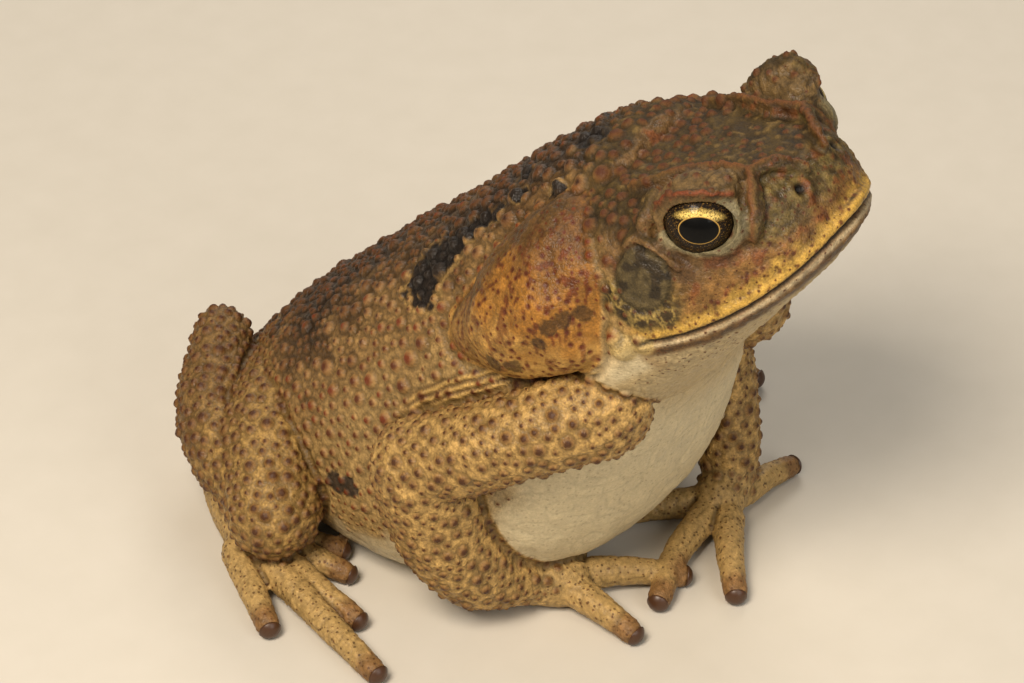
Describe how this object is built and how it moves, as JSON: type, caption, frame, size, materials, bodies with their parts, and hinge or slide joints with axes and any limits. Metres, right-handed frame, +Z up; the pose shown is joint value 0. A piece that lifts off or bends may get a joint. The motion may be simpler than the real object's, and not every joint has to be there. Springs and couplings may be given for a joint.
{
  "type": "cane toad model",
  "caption": "Life-size still model of a warty toad sitting with its chest raised on its forelegs, with lids, lips, ear drums, glands and separate digits.",
  "frame": {"origin": "on the floor, under the middle of the posed toad's box", "axes": "+Z up, snout towards -Y, the toad's left side towards +X"},
  "size_m": [0.1038, 0.1126, 0.092],
  "materials": {
    "skin_body": "satin, warty",
    "skin_head": "satin, ridged",
    "skin_jaw": "satin, finely grained",
    "skin_gland": "satin, pitted",
    "skin_limb": "satin, warty",
    "skin_digit": "satin, grained",
    "ear_drum": "satin",
    "eye": "wet gloss"
  },
  "bodies": {
    "root": {"eye_left": "eye", "eye_right": "eye", "finger_left_1": "skin_digit", "finger_left_2": "skin_digit", "finger_left_3": "skin_digit", "finger_left_4": "skin_digit", "finger_right_1": "skin_digit", "finger_right_2": "skin_digit", "finger_right_3": "skin_digit", "finger_right_4": "skin_digit", "foot_left": "skin_digit", "foot_right": "skin_digit", "forearm_left": "skin_limb", "forearm_right": "skin_limb", "hand_left": "skin_digit", "hand_right": "skin_digit", "head": "skin_head", "lower_jaw": "skin_jaw", "parotoid_left": "skin_gland", "parotoid_right": "skin_gland", "shank_left": "skin_limb", "shank_right": "skin_limb", "thigh_left": "skin_limb", "thigh_right": "skin_limb", "toe_left_1": "skin_digit", "toe_left_2": "skin_digit", "toe_left_3": "skin_digit", "toe_left_4": "skin_digit", "toe_left_5": "skin_digit", "toe_right_1": "skin_digit", "toe_right_2": "skin_digit", "toe_right_3": "skin_digit", "toe_right_4": "skin_digit", "toe_right_5": "skin_digit", "torso": "skin_body", "tympanum_left": "ear_drum", "tympanum_right": "ear_drum", "upper_arm_left": "skin_limb", "upper_arm_right": "skin_limb"}
  },
  "joints": []
}
